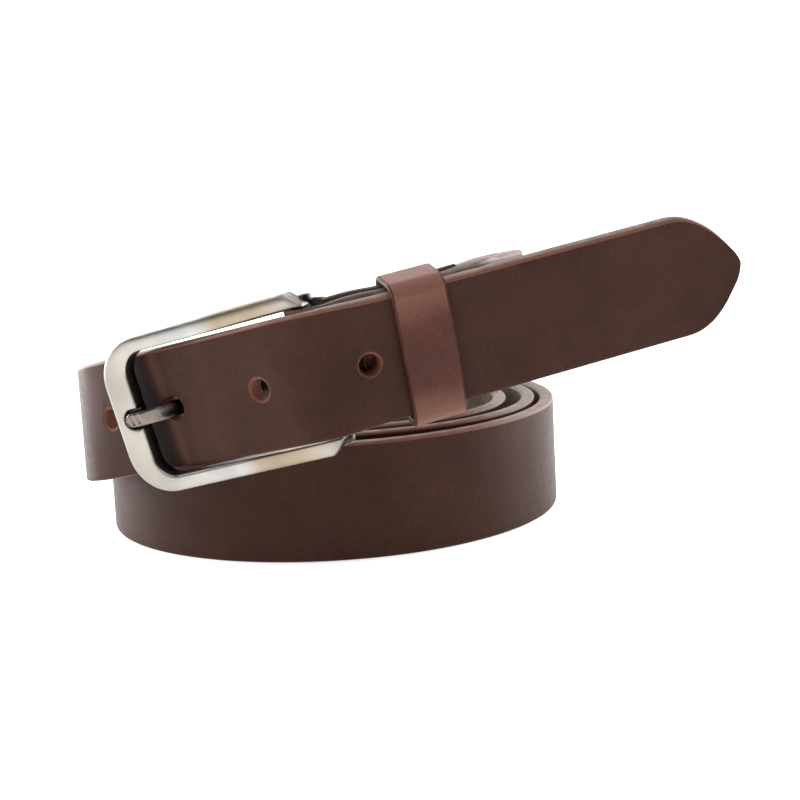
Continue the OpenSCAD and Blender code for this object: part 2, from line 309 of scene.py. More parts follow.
def makeGrainLeather(name, dark, light, rough, depth, poreSize, pebbleSize, shine=0.08, paintedLight=None):
    material, tree, shader = newMaterial(name)
    grain, mottle = leatherParts(tree, poreSize, pebbleSize)
    dye = mixColour(tree, mottle["Clouds"], dark, light, (-520, 260))
    pitted = mathNode(tree, "MULTIPLY", grain["Hollows"], 0.45, (-520, 20))
    colour = mixColour(tree, pitted, dye, tuple(c * 0.42 for c in dark), (-300, 220))
    if paintedLight:
        # colours painted at the marked places: a painted highlight, and a painted dark (painted shade in the
        # strap's hollow by the bar, a darker middle on the keeper)
        shares = markParts(tree, "leatherLightShade", 620)
        colour = mixColour(tree, shares["X"], colour, paintedLight[0], (-120, 420))
        colour = mixColour(tree, shares["Y"], colour, paintedLight[1], (40, 420))
    tree.links.new(colour, shader.inputs["Base Color"])
    matte = remap(tree, mottle["Streaks"], rough - 0.07, rough + 0.09, (-520, -160), "To")
    tree.links.new(matte, shader.inputs["Roughness"])
    setInputs(shader, Specular_IOR_Level=shine)
    bumpInto(tree, shader, grain["Height"], depth, 0.00018)
    return material


def makeEdgeLeather():
    # burnished edge: hard shiny dressing over packed fibres, with a reddish painted highlight on the upper
    # bevel next to the grain side, and painted shade on the edges of the strap's last stretch
    material, tree, shader = newMaterial("burnishedEdge")
    grain, mottle = leatherParts(tree, 2600.0, 900.0, 240.0)
    values = leatherValues
    packed = mixColour(tree, mottle["Clouds"], values["edgeDark"], values["edgeLight"], (-520, 260))
    bevelGlintShade = markParts(tree, "leatherLightShade", 520)["Z"]
    # painted highlight on the upper bevel
    bevelGlint = remap(tree, bevelGlintShade, 0.58, 0.86, (-620, 520))
    colour = mixColour(tree, bevelGlint, packed, values["bevelHighlightRed"], (-300, 300))
    # painted shade on the edges of the strap's last stretch
    lastStretchShade = remap(tree, bevelGlintShade, -0.1, -0.9, (-620, 760))
    colour = mixColour(tree, lastStretchShade, colour, values["edgeShadeColour"], (-120, 300))
    tree.links.new(colour, shader.inputs["Base Color"])
    setInputs(shader, Specular_IOR_Level=0.25, Roughness=0.48)
    bumpInto(tree, shader, grain["Height"], 0.35, 0.00012)
    return material


def makeFleshLeather():
    material, tree, shader = newMaterial("fleshSide")
    grain, mottle = leatherParts(tree, 900.0, 480.0, 90.0)
    dark, light = leatherValues["fleshDark"], leatherValues["fleshLight"]
    nap = mixColour(tree, mottle["Clouds"], dark, light, (-520, 260))
    worn = mathNode(tree, "MULTIPLY", grain["Hollows"], 0.5, (-520, 20))
    colour = mixColour(tree, worn, nap, dark, (-300, 220))
    tree.links.new(colour, shader.inputs["Base Color"])
    setInputs(shader, Roughness=0.85, Specular_IOR_Level=0.1, Sheen_Weight=0.06, Sheen_Roughness=0.5)
    bumpInto(tree, shader, grain["Height"], 0.7, 0.0003)
    return material


def makeMetal(name, dark, light, rough, depth, fineness):
    material, tree, shader = newMaterial(name)
    space = objectSpace(tree)
    lines = useGroup(tree, brushedLines, (-760, 100), Fineness=fineness)
    tree.links.new(space, lines.inputs["Place"])
    tone = remap(tree, lines.outputs["Smears"], 0.35, 0.65, (-520, 200))
    colour = mixColour(tree, tone, dark, light, (-300, 200))
    tree.links.new(colour, shader.inputs["Base Color"])
    polish = remap(tree, lines.outputs["Lines"], rough - 0.08, rough + 0.1, (-520, -60), "To")
    tree.links.new(polish, shader.inputs["Roughness"])
    setInputs(shader, Metallic=1.0)
    bumpInto(tree, shader, lines.outputs["Lines"], depth, 0.00004)
    return material


metalValues = {
    # dark, light, roughness, depth and fineness of the brushed lines
    "gunmetal": ((0.028, 0.025, 0.024), (0.20, 0.17, 0.145), 0.26, 0.5, 1400.0),
    "drawn": ((0.35, 0.34, 0.33), (0.55, 0.54, 0.52), 0.35, 0.3, 1600.0),
}
nickelValues = {
    "dark": (0.40, 0.383, 0.356),
    "light": (0.50, 0.480, 0.447),
    "rough": 0.30,
    # painted shade
    "recessShade": (0.05, 0.045, 0.042),
    # painted reflections and shade of the surroundings, from the front bar along an arm to its end
    "paintedReflections": ((0.0, (0.70, 0.665, 0.625)), (0.15, (0.84, 0.82, 0.79)), (0.36, (0.97, 0.98, 1.0)),
              (0.5, (0.94, 0.96, 0.99)), (0.6, (0.66, 0.55, 0.43)), (0.78, (0.66, 0.55, 0.43)),
              (0.92, (0.88, 0.84, 0.78)), (1.0, (0.45, 0.42, 0.39))),
}


def makeNickel():
    # satin nickel whose painted reflections change along the arms, with painted shade on the frame's inner
    # walls, the ears, the notch and the back
    values = nickelValues
    material = makeMetal("satinNickel", values["dark"], values["light"], values["rough"], 0.25, 900.0)
    tree = material.node_tree
    shader = tree.nodes["Principled BSDF"]
    plain = shader.inputs["Base Color"].links[0].from_socket
    shares = markParts(tree, "nickelLightShade", 620)
    # painted reflections along the arms
    ramp = addNode(tree, "ShaderNodeValToRGB", (-600, 620))
    paintedReflections = ramp.color_ramp.elements
    while len(paintedReflections) < len(values["paintedReflections"]):
        paintedReflections.new(0.5)
    for tone, (at, colour) in zip(paintedReflections, values["paintedReflections"]):
        tone.position = at
        tone.color = (*colour, 1)
    tree.links.new(shares["X"], ramp.inputs["Fac"])
    tinted = mixColour(tree, 1.0, plain, ramp.outputs["Color"], (-120, 420), "MULTIPLY")
    # painted shade where the second share is set
    colour = mixColour(tree, shares["Y"], tinted, values["recessShade"], (40, 420))
    tree.links.new(colour, shader.inputs["Base Color"])
    return material


stitchValues = {
    "radius": 0.38,
    "pitch": 4.0,
    "count": 3,
    "dark": (0.020, 0.011, 0.009),
    "light": (0.075, 0.042, 0.032),
}


def makeThread():
    material, tree, shader = newMaterial("waxedThread")
    space = objectSpace(tree)
    twist = addNode(tree, "ShaderNodeTexWave", (-600, 0), wave_type="BANDS", bands_direction="DIAGONAL")
    setInputs(twist, Scale=900.0, Distortion=1.5)
    tree.links.new(space, twist.inputs["Vector"])
    colour = mixColour(tree, twist.outputs["Fac"], stitchValues["dark"], stitchValues["light"], (-300, 200))
    tree.links.new(colour, shader.inputs["Base Color"])
    setInputs(shader, Roughness=0.55)
    bumpInto(tree, shader, twist.outputs["Fac"], 0.6, 0.0001)
    return material


def makeFloorMaterial():
    material, tree, shader = newMaterial("studioPaper")
    space = objectSpace(tree)
    mottle = useGroup(tree, hideMottle, (-700, 200), **{"Cloud size": 3.0})
    tree.links.new(space, mottle.inputs["Place"])
    base = roomValues["floorColour"]
    colour = mixColour(tree, mottle.outputs["Clouds"], base, tuple(c * 0.99 for c in base), (-300, 200))
    tree.links.new(colour, shader.inputs["Base Color"])
    setInputs(shader, Roughness=0.8, Specular_IOR_Level=0.1, Emission_Color=(1, 1, 1, 1),
              Emission_Strength=roomValues["glow"])
    return material


strapGrain = makeGrainLeather(
    "strapGrain", leatherValues["strapDark"], leatherValues["strapLight"], leatherValues["strapRough"],
    *leatherValues["strapPores"], paintedLight=leatherValues["strapHighlightShade"])
keeperGrain = makeGrainLeather(
    "keeperGrain", leatherValues["keeperDark"], leatherValues["keeperLight"], leatherValues["keeperRough"],
    *leatherValues["keeperPores"], 0.16, leatherValues["keeperHighlightAndDark"])
keeperRim = makeGrainLeather(
    "keeperRim", leatherValues["keeperRimDark"], leatherValues["keeperRimLight"], 0.45,
    *leatherValues["wallPores"])
edgeLeather = makeEdgeLeather()
fleshLeather = makeFleshLeather()
holeWall = makeGrainLeather(
    "holeWall", leatherValues["holeDark"], leatherValues["holeLight"], 0.5, *leatherValues["wallPores"])
satinNickel = makeNickel()
darkGunmetal = makeMetal("darkGunmetal", *metalValues["gunmetal"])
drawnSteel = makeMetal("drawnSteel", *metalValues["drawn"])
waxedThread = makeThread()
strapMaterials = [strapGrain, edgeLeather, fleshLeather, holeWall]
print("materials made")


# the strap's route is in millimetres round the coil's axis
beltValues = {
    "coilAt": (-17.0, 14.0, 0.0),
    "width": 30.0,
    "thick": 3.8,
    "foldThick": 2.0,
    "pinRadius": 1.6,
    "tipLength": 94.0,
    "tailAt": (13.0, -90.0, 53.3),
    "tailTurn": (10.5, -10.5, 14.0),
    "heelAt": (2.5, -83.5, 51.5),
    "heelTurn": (5.0, -13.0, -22.0),
    "strandThick": 2.8,  # behind the keeper
    "layerGap": 0.7,
    "foldSpare": 0.75,  # between the heel bar and the fold
    "ringStep": 1.5,  # along the strap
    "noseLength": 17.5,
    "lowNoseLength": 15.0,
    "frontSeam": 0.0,
    "rearSeam": 23.5,
    "keeperAt": 14.0,
}
halfWidth = beltValues["width"] / 2
coilAt = np.array(beltValues["coilAt"])


def turnMatrix(turn):
    a, b, c = (math.radians(v) for v in turn)
    full = Matrix.Rotation(c, 3, "Z") @ Matrix.Rotation(b, 3, "Y") @ Matrix.Rotation(a, 3, "X")
    return np.array(full)


tailAt, tailAxes = np.array(beltValues["tailAt"]), turnMatrix(beltValues["tailTurn"])
heelAt, heelAxes = np.array(beltValues["heelAt"]), turnMatrix(beltValues["heelTurn"])
upward = np.array([0.0, 0.0, 1.0])
tailUp, heelUp = tailAxes[:, 2], heelAxes[:, 2]


def unit(v):
    v = np.asarray(v, float)
    return v / np.linalg.norm(v)


midUp = unit(heelUp + tailUp)
nearTailUp, nearHeelUp = unit(midUp + tailUp), unit(midUp + heelUp)
thick, foldThick = beltValues["thick"], beltValues["foldThick"]


def tailPoint(along, out, across=0.0):
    return tailAt + tailAxes @ np.array([along, -out, across])


def heelPoint(along, out, across=0.0):
    return heelAt + heelAxes @ np.array([along, -out, across])


def onTail(along, out, t=thick, up=tailUp):
    return tailPoint(along, out), up, t


def onHeel(along, out, t=thick, up=heelUp):
    return heelPoint(along, out), up, t


def onFold(along, out, t=thick, up=heelUp, drop=0.9):
    place = heelPoint(along, out)
    return place - heelUp * (tailUp @ (place - tailAt) / (tailUp @ heelUp) + drop), up, t


def onCoil(angle, r, z):
    a = math.radians(angle)
    return np.array([r * math.cos(a), r * math.sin(a), z]), upward, thick


def spot(x, y, z, up=upward):
    return np.array([x, y, z], float), up, thick


def makeStations():
    gap, strandThick = beltValues["layerGap"], beltValues["strandThick"]
    strandOut = -(thick + strandThick) / 2 - gap
    flapOut = strandOut - (strandThick + foldThick) / 2 - gap
    stations = [onTail(along, 0) for along in (beltValues["tipLength"], 70, 46, 23, 4)]
    stations += [onTail(-2, -0.1, up=nearTailUp), onFold(3, 7.3, up=nearHeelUp, drop=0.3)]
    stations += [onHeel(along, out) for along, out in
                 ((-4, 7.7), (-14, 5.9), (-26, 3.7), (-37, 1.3), (-45, -0.9), (-53, -3.4))]
    stations += [spot(-59, -46, 35.5), onCoil(200, 69.5, 31.5), onCoil(180, 67.5, 28), onCoil(155, 67, 23.5),
                 onCoil(130, 67, 19.5), onCoil(105, 67, 16.8), onCoil(80, 66.5, 15.5), onCoil(50, 65, 15.1),
                 onCoil(25, 63, halfWidth)]
    winding = [62, 62, 62, 61, 56.8, 49, 50, 50, 48.6, 40]
    for k in range(37):
        turn = 22.5 * k
        i = min(int(turn // 90), len(winding) - 2)
        share = (1 - math.cos(math.pi * (turn / 90 - i))) / 2
        stations.append(onCoil(-turn, winding[i] + (winding[i + 1] - winding[i]) * share, halfWidth))
    # up inside the coil, and forward behind the free end
    stations += [spot(-20, -35, 17.5), spot(-35, -16, 22.5), spot(-36, 10, 29), spot(-20, 31, 35),
                 spot(6, 38, 41.5), spot(30, 24, 48.5), spot(45, -2, 55), spot(51, -28, 58),
                 spot(50.5, -50, 59.5), spot(44.5, -67, 59.5, unit(upward + tailUp))]
    rear, front = beltValues["rearSeam"], beltValues["frontSeam"]
    stations += [onTail(29, strandOut - 1.7), onTail(rear, strandOut - 0.3, thick - 0.4),
                 onTail(14, strandOut, strandThick), onTail(6, strandOut, strandThick),
                 onTail(front, strandOut - 0.4, strandThick - 0.5, nearTailUp)]
    foldRadius = beltValues["pinRadius"] + beltValues["foldSpare"] + foldThick / 2
    stations.append(onFold(4.2, 1.8, foldThick, nearHeelUp))
    for degrees in range(90, 271, 30):
        a = math.radians(degrees)
        stations.append(onFold(foldRadius * math.cos(a), foldRadius * math.sin(a), foldThick))
    stations += [onFold(3.2, -3.2, foldThick, nearHeelUp),
                 onTail(front, flapOut - 0.8, foldThick, nearTailUp), onTail(6, flapOut, foldThick),
                 onTail(14, flapOut, foldThick), onTail(rear + 3, flapOut - 1, foldThick - 0.4)]
    return stations, strandOut, flapOut


def smoothRoute(stations, step):
    # an even curve through all the stations, cut into short steps
    places = np.array([s[0] for s in stations])
    ups = np.array([s[1] for s in stations])
    thicks = np.array([s[2] for s in stations])
    gaps = np.linalg.norm(np.diff(places, axis=0), axis=1)
    slopes = np.zeros_like(places)
    slopes[0], slopes[-1] = (places[1] - places[0]) / gaps[0], (places[-1] - places[-2]) / gaps[-1]
    for i in range(1, len(places) - 1):
        a, b = gaps[i - 1], gaps[i]
        slopes[i] = ((places[i] - places[i - 1]) * b / a + (places[i + 1] - places[i]) * a / b) / (a + b)
    route = []
    for i, g in enumerate(gaps):
        count = math.ceil(g / step)
        for j in range(count):
            f = j / count
            p = (places[i] * (2 * f**3 - 3 * f**2 + 1) + slopes[i] * g * (f**3 - 2 * f**2 + f)
                 + places[i + 1] * (3 * f**2 - 2 * f**3) + slopes[i + 1] * g * (f**3 - f**2))
            p[2] = max(p[2], halfWidth)  # the lower edge stays above the floor
            route.append((p, ups[i] * (1 - f) + ups[i + 1] * f, thicks[i] * (1 - f) + thicks[i + 1] * f))
    route.append((places[-1], ups[-1], thicks[-1]))
    return route


stations, strandOut, flapOut = makeStations()
route = smoothRoute(stations, beltValues["ringStep"])
# closer rings at the point, so that its outline is smooth
nose = [tailPoint(beltValues["tipLength"] - d, 0) for d in (0.03, 0.12, 0.3, 0.6, 1.0)]
route[0:1] = [(p, tailUp, thick) for p in nose]


def sectionOutline(t, half, low):
    # round the section from the grain side's upper end: outward, across, zone, and the share of the painted
    # highlight on the bevel
    # zone 0 is the grain side, 1 an edge and 2 the flesh side
    u = t / 2
    k = min(1.0, half / 4)
    # the last value is the share of the painted highlight; only the upper edge gets it
    grainEdge = [(0.0, 0.8 * k, 0.95), (-0.09, 0.48 * k, 0.85), (-0.32, 0.18 * k, 0.72), (-0.75, 0.0, 0.5)]
    front = [half * f for f in (0.92, 0.8, 0.6, 0.4, 0.2, 0)]
    front += [low * f for f in (-0.2, -0.4, -0.6, -0.8, -0.92)]
    points = []
    for drop, inset, bevelGlint in reversed(grainEdge):
        points.append((u + drop * t / 3.8, half - inset, 1, bevelGlint))
    points += [(u, v, 0, 0.0) for v in front]
    for drop, inset, _ in grainEdge:
        points.append((u + drop * t / 3.8, -low + inset, 0 if drop > -0.2 else 1, 0.0))
    backEdge = [(0.95, 0.0), (0.45, 0.12 * k), (0.16, 0.4 * k), (0.0, 0.9 * k)]
    points += [(0.1 * t, -low, 1, 0.0)]
    points += [(-u + rise * t / 3.8, -low + inset, 1, 0.0) for rise, inset in backEdge]
    points += [(-u, v, 2, 0.0) for v in (-low * 0.8, -low * 0.4, 0, half * 0.4, half * 0.8)]
    points += [(-u + rise * t / 3.8, half - inset, 1, 0.0) for rise, inset in reversed(backEdge)]
    points += [(0.1 * t, half, 1, 0.15)]
    return points


def fixNormals(obj):
    bm = bmesh.new()
    bm.from_mesh(obj.data)
    bmesh.ops.recalc_face_normals(bm, faces=bm.faces)
    bm.to_mesh(obj.data)
    bm.free()


def meshObject(name, verts, faces, materials, faceSlots=None, smooth=True, sharp=35):
    mesh = bpy.data.meshes.new(name)
    mesh.from_pydata([tuple(v) for v in verts], [], faces)
    for material in materials:
        mesh.materials.append(material)
    if faceSlots is not None:
        mesh.polygons.foreach_set("material_index", faceSlots)
    if smooth:
        mesh.polygons.foreach_set("use_smooth", [True] * len(mesh.polygons))
        mesh.set_sharp_from_angle(angle=math.radians(sharp))
    mesh.update()
    obj = bpy.data.objects.new(name, mesh)
    bpy.context.scene.collection.objects.link(obj)
    return obj


def sweptFaces(count, size, caps=True):
    # count sections of size points each, joined side by side
    faces = [(i * size + j, i * size + (j + 1) % size, (i + 1) * size + (j + 1) % size, (i + 1) * size + j)
             for i in range(count - 1) for j in range(size)]
    if caps:
        faces += [tuple(reversed(range(size))), tuple(range((count - 1) * size, count * size))]
    return faces


def placedPoints(points):
    # millimetres round the coil's axis to metres in the row frame
    return (np.asarray(points, float) + coilAt) * 0.001


def cutWith(obj, cutter):
    modifier = obj.modifiers.new("cut", "BOOLEAN")
    modifier.operation = "DIFFERENCE"
    modifier.solver = "EXACT"
    modifier.object = cutter
    graph = bpy.context.evaluated_depsgraph_get()
    done = bpy.data.meshes.new_from_object(obj.evaluated_get(graph))
    obj.modifiers.clear()
    old = obj.data
    obj.data = done
    bpy.data.meshes.remove(old)
    bpy.data.objects.remove(cutter)


def turnedCutter(name, rings, segments=36, stretch=0.0):
    # rings: (centre, radius, share of the stretch), stacked along one line
    centres = [np.asarray(c, float) for c, _, _ in rings]
    line = unit(centres[-1] - centres[0])
    side = unit(np.cross(line, upward))
    other = np.cross(line, side)
    verts = []
    for centre, radius, slide in rings:
        for k in range(segments):
            a = 2 * math.pi * k / segments
            shift = slide * stretch * max(0.0, math.cos(a)) * side
            verts.append(np.asarray(centre) + radius * (math.cos(a) * side + math.sin(a) * other) + shift)
    faces = sweptFaces(len(rings), segments)
    obj = meshObject(name, placedPoints(verts), faces, strapMaterials, [3] * len(faces), sharp=50)
    fixNormals(obj)
    return obj


holeValues = {
    "radius": 2.35,
    "rimRadius": 3.2,
    "rimDepth": 0.75,
    "inward": 4.6,  # how far the punch goes past the strap's middle
    "secondAt": (-13.0, 5.7),  # along and outward from the hinge axis
    "fourthAt": (-62.5, -8.2),
    "fifthAt": (-63.7, -32.4, 32.9),  # round the coil's axis
    "prongAt": (-39.5, 0.95),
    "prongSlant": 20.0,  # degrees
    "prongSpare": 1.3,
    "ringsSearched": 220,
}
# the cut in the fold that the prong swings in: along, outward and across
slotSpans = ((-6, 2.5), (-4.2, 4.4), (-2.8, 2.8))
# painted highlight and painted shade where the free end bends over the front bar, and painted shade on the
# edges of the strap's last stretch
paintedLightValues = {
    "bendHighlight": (0.42, -41.6, 1.2),  # strength, place, width
    "hollowShade": (0.72, -43.9, 0.45, -52, 0.8),  # strength, then place and softness of either end
    "bendsWithin": 200.0,
    "shadeFrom": 95.0,  # before the inner end of the strap
    "shadeOver": 20.0,
}


def holeCutter(name, centre, out):
    # a punched hole with its rim pressed in: centre on the strap's middle, out along the grain side's normal
    centre, out = np.asarray(centre, float), unit(out)
    r, rim, depth = holeValues["radius"], holeValues["rimRadius"], holeValues["rimDepth"]
    inward = holeValues["inward"]
    face = thick / 2
    profile = [(face + 1.5, rim + 0.9), (face + 0.02, rim), (face - depth * 0.3, (rim + r) / 2 - 0.08),
               (face - depth, r + 0.06), (face - depth - 0.4, r), (-inward, r)]
    return turnedCutter(name, [(centre + out * n, radius, 0) for n, radius in profile])


def bendLightShade(mid, across):
    # the free end is bent over the front bar: a painted highlight line on the bend, and painted shade in the
    # hollow beside the bar
    along = (heelAxes.T @ (mid - heelAt))[0] + 0.03 * across
    strength, place, wide = paintedLightValues["bendHighlight"]
    bendHighlight = strength * math.exp(-(((along - place) / wide) ** 2))
    strength, front, frontSoft, rear, rearSoft = paintedLightValues["hollowShade"]
    hollowShade = strength / (1 + math.exp((along - front) / frontSoft))
    hollowShade /= 1 + math.exp(-(along - rear) / rearSoft)
    return bendHighlight, hollowShade


def ringFrame(point):
    # nearest ring of the first part of the route: its middle and the direction out of the grain side
    i = min(range(1, holeValues["ringsSearched"]), key=lambda k: np.linalg.norm(route[k][0] - point))
    mid, up, _ = route[i]
    along = unit(route[i + 1][0] - route[i - 1][0])
    across = unit(up - along * (up @ along))
    return mid + across * ((point - mid) @ across) + along * ((point - mid) @ along), np.cross(across, along)


def noseWidths(fromTip):
    # half widths above and below the middle: the point is fuller below
    widths = []
    for reach, power in ((beltValues["noseLength"], 0.8), (beltValues["lowNoseLength"], 0.715)):
        f = min(1.0, fromTip / reach)
        widths.append(halfWidth * math.sin(math.pi / 2 * f ** (power - 0.08 * max(0.0, 1 - fromTip / 3))))
    return widths


def makeStrap():
    verts, faces, slots, paintedLight = [], [], [], []
    values = paintedLightValues
    travelled = 0.0
    total = len(route)
    full = sum(np.linalg.norm(b[0] - a[0]) for a, b in zip(route, route[1:]))
    for i, (mid, up, t) in enumerate(route):
        ahead, behind = route[min(i + 1, total - 1)][0], route[max(i - 1, 0)][0]
        along = unit(ahead - behind)
        across = unit(up - along * (up @ along))
        out = np.cross(across, along)
        if i:
            travelled += np.linalg.norm(mid - route[i - 1][0])
        # painted shade ramps in on the edges near the strap's inner end
        lastStretchShade = min(1.0, max(0.0, (travelled - full + values["shadeFrom"]) / values["shadeOver"]))
        half, low = noseWidths(travelled + 0.03)
        ring = sectionOutline(t, half, low)
        for u, v, zone, bevelGlint in ring:
            verts.append(mid + out * u + across * v)
            # per point: painted highlight and painted shade of the bend, and the bevel's painted highlight
            # less the painted shade of the last stretch
            bendHighlight, hollowShade = bendLightShade(mid, v) if travelled < values["bendsWithin"] else (0.0, 0.0)
            paintedLight.append((bendHighlight, hollowShade, bevelGlint - lastStretchShade))
    size = len(ring)
    zones = [p[2] for p in ring]
    for i in range(total - 1):
        for j in range(size):
            n = (j + 1) % size
            faces.append((i * size + j, (i + 1) * size + j, (i + 1) * size + n, i * size + n))
            zone = min(zones[j], zones[n]) if 0 in (zones[j], zones[n]) else max(zones[j], zones[n])
            slots.append(zone)
    faces.append(tuple(range(size)))
    slots.append(1)
    last = (total - 1) * size
    faces.append(tuple(reversed(range(last, last + size))))
    slots.append(2)
    strap = meshObject("strapLeather", placedPoints(verts), faces, strapMaterials, slots)
    lookup = KDTree(len(verts))
    for k, v in enumerate(strap.data.vertices):
        lookup.insert(v.co, k)
    lookup.balance()
    holes = {"firstHole": tailPoint(0, 0), "secondHole": heelPoint(*holeValues["secondAt"]),
             "fourthHole": heelPoint(*holeValues["fourthAt"]), "fifthHole": np.array(holeValues["fifthAt"])}
    for name, place in holes.items():
        centre, out = ringFrame(place)
        cutWith(strap, holeCutter(name, centre, out))
    # the third hole leans with the prong
    slant = math.radians(holeValues["prongSlant"])
    middle = np.array(holeValues["prongAt"])
    lean = np.array([-math.sin(slant), math.cos(slant)])
    ramp = [(heelPoint(*(middle + lean * d)), r, s) for d, r, s in
            ((-5, 2.75, 1), (1.0, 2.75, 1), (1.9, 3.2, 1), (5, 4.3, 1))]
    cutWith(strap, turnedCutter("prongHole", ramp, stretch=holeValues["prongSpare"]))
    corners = [heelPoint(x, n, z) for x in slotSpans[0] for n in slotSpans[1] for z in slotSpans[2]]
    box = [(0, 1, 3, 2), (4, 6, 7, 5), (0, 4, 5, 1), (2, 3, 7, 6), (0, 2, 6, 4), (1, 5, 7, 3)]
    slotCut = meshObject("foldSlot", placedPoints(corners), box, strapMaterials, [3] * 6, smooth=False)
    fixNormals(slotCut)
    cutWith(strap, slotCut)
    mesh = strap.data
    mesh.set_sharp_from_angle(angle=math.radians(35))
    zoneMark = mesh.attributes.new("leatherLightShade", "FLOAT_VECTOR", "POINT")
    shares = []
    for v in mesh.vertices:
        shares.extend(paintedLight[lookup.find(v.co)[1]])
    zoneMark.data.foreach_set("vector", shares)
    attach(strap, "strap")
    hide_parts("strap")
    return strap


strap = makeStrap()
print("strap made", len(strap.data.vertices))


buckleValues = {
    "height": 39.5,
    "length": 55.5,
    "back": 1.0,
    "thick": 4.5,
    "arm": 4.0,
    "bar": 7.0,
    "outerCorner": 11.0,
    "innerCorner": 5.5,
    "armEnd": 2.6,
    "armCut": 4.0,  # the outside of an arm is shorter than its inside
    "earRadius": 2.8,
    "notchEnd": -52.6,
    "notchRunOut": -44.0,
    # painted shade in the prong's notch
    "notchShade": (-53.4, -47.0, 2.75),  # from, to, and the half width
}


def frameOutlines():
    # matching points of the outer and the inner outline of the upper half, from the arm's end to the bar
    b = buckleValues
    half, inner = b["height"] / 2, b["height"] / 2 - b["arm"]
    left, bar = -b["length"], -b["length"] + b["bar"]
    end = b["armEnd"] - 0.6
    pairs = []
    for k in range(26):
        f = k / 25
        pairs.append(((end - b["armCut"] + (left + b["outerCorner"] - end + b["armCut"]) * f, half),
                      (end + (bar + b["innerCorner"] - end) * f, inner)))
    outerR, innerR = b["outerCorner"], b["innerCorner"]
    for k in range(1, 17):
        a = math.pi / 2 * k / 16
        gone, kept = 1 - math.sin(a), 1 - math.cos(a)
        pairs.append(((left + outerR * gone, half - outerR * kept),
                      (bar + innerR * gone, inner - innerR * kept)))
    for k in range(1, 13):
        f = k / 12
        pairs.append(((left, (half - outerR) * (1 - f)), (bar, (inner - innerR) * (1 - f))))
    return pairs


def frameSection(width):
    # distance from the inner outline, height: a soft outer shoulder, a crisper inner one
    low, high = buckleValues["back"], buckleValues["back"] + buckleValues["thick"]
    w = width
    inside = [(0.35, low), (0.08, low + 0.12), (0.0, low + 0.5), (0.0, high - 0.95), (0.05, high - 0.5),
              (0.18, high - 0.24), (0.42, high - 0.08), (0.8, high)]
    outside = [(w * 0.5, high), (w - 1.15, high - 0.03), (w - 0.7, high - 0.16), (w - 0.3, high - 0.45),
               (w - 0.07, high - 0.95), (w, high - 1.6), (w, low + 0.7), (w - 0.12, low + 0.2),
               (w - 0.5, low)]
    return inside + outside


def tube(points, radius, segments=12):
    # a round bar along a polyline; returns verts and faces in the same units
    points = [np.asarray(p, float) for p in points]
    verts = []
    side = None
    for i, p in enumerate(points):
        along = unit(points[min(i + 1, len(points) - 1)] - points[max(i - 1, 0)])
        if side is None:
            side = unit(np.cross(along, [0.31, 0.22, 0.93]))
        side = unit(side - along * (side @ along))
        other = np.cross(along, side)
        r = radius[i] if isinstance(radius, (list, tuple)) else radius
        for k in range(segments):
            a = 2 * math.pi * k / segments
            verts.append(p + r * (math.cos(a) * side + math.sin(a) * other))
    return verts, sweptFaces(len(points), segments)


def notchCutter():
    # room for the prong's end in the front bar, closed towards the outside, its rim flared
    high = buckleValues["back"] + buckleValues["thick"]
    noseAt, runOut = buckleValues["notchEnd"], buckleValues["notchRunOut"]
    verts = []
    levels = ((-2.1, 2.45), (-0.5, 2.45), (-0.2, 2.58), (0.05, 2.9), (1.0, 3.6))
    for rise, r in levels:
        n = high + rise
        for k in range(17):
            a = math.pi / 2 + math.pi * k / 16
            verts.append(heelPoint(noseAt + 2.25 + r * math.cos(a), n, r * math.sin(a)))
        verts += [heelPoint(runOut, n, -r), heelPoint(runOut, n, r)]
    faces = sweptFaces(len(levels), 19)
    cutter = meshObject("notchCutter", placedPoints(verts), faces, [satinNickel], sharp=40)
    fixNormals(cutter)
    return cutter


def makeBuckle():
    b = buckleValues
    upper = frameOutlines()
    pairs = upper + [((o[0], -o[1]), (i[0], -i[1])) for o, i in reversed(upper[:-1])]
    # the arms close in a few shrinking sections: shift along the arm, share of the full section
    closing = [(0.6, 0.45), (0.54, 0.7), (0.38, 0.87), (0.18, 0.97)]
    rings = [(pairs[0], d, f) for d, f in closing] + [(p, 0, 1) for p in pairs]
    rings += [(pairs[-1], d, f) for d, f in closing[::-1]]
    verts = []
    for (outer, inner), shift, shrink in rings:
        o, i = np.array(outer), np.array(inner)
        width = np.linalg.norm(o - i)
        way = (o - i) / width
        core = np.array([(o[0] + i[0]) / 2, b["back"] + b["thick"] / 2, (o[1] + i[1]) / 2])
        for q, n in frameSection(width):
            flat = i + way * q
            at = core + (np.array([flat[0], n, flat[1]]) - core) * shrink
            verts.append(heelPoint(at[0] + shift, at[1], at[2]))
    faces = sweptFaces(len(rings), len(verts) // len(rings))
    frameObj = meshObject("buckleFrame", placedPoints(verts), faces, [satinNickel], sharp=32)
    fixNormals(frameObj)
    cutWith(frameObj, notchCutter())
    frameObj.data.set_sharp_from_angle(angle=math.radians(32))
    # ears on the hinge bar
    inner = b["height"] / 2 - b["arm"]
    parts = [frameObj]
    for sign in (-1, 1):
        r = b["earRadius"] - 0.4
        spine = [heelPoint(0, 0, sign * (inner + d)) for d in (0.0, 0.12, 0.35, 1.9, 2.2, 2.35)]
        v, f = tube(spine, [r - 0.35, r - 0.1, r, r, r - 0.12, r - 0.4], 40)
        parts.append(meshObject("ear", placedPoints(v), f, [satinNickel], sharp=50))
    joinInto(frameObj, parts[1:])
    markMetalLight(frameObj)
    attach(frameObj, "buckle")
    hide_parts("buckle_frame")


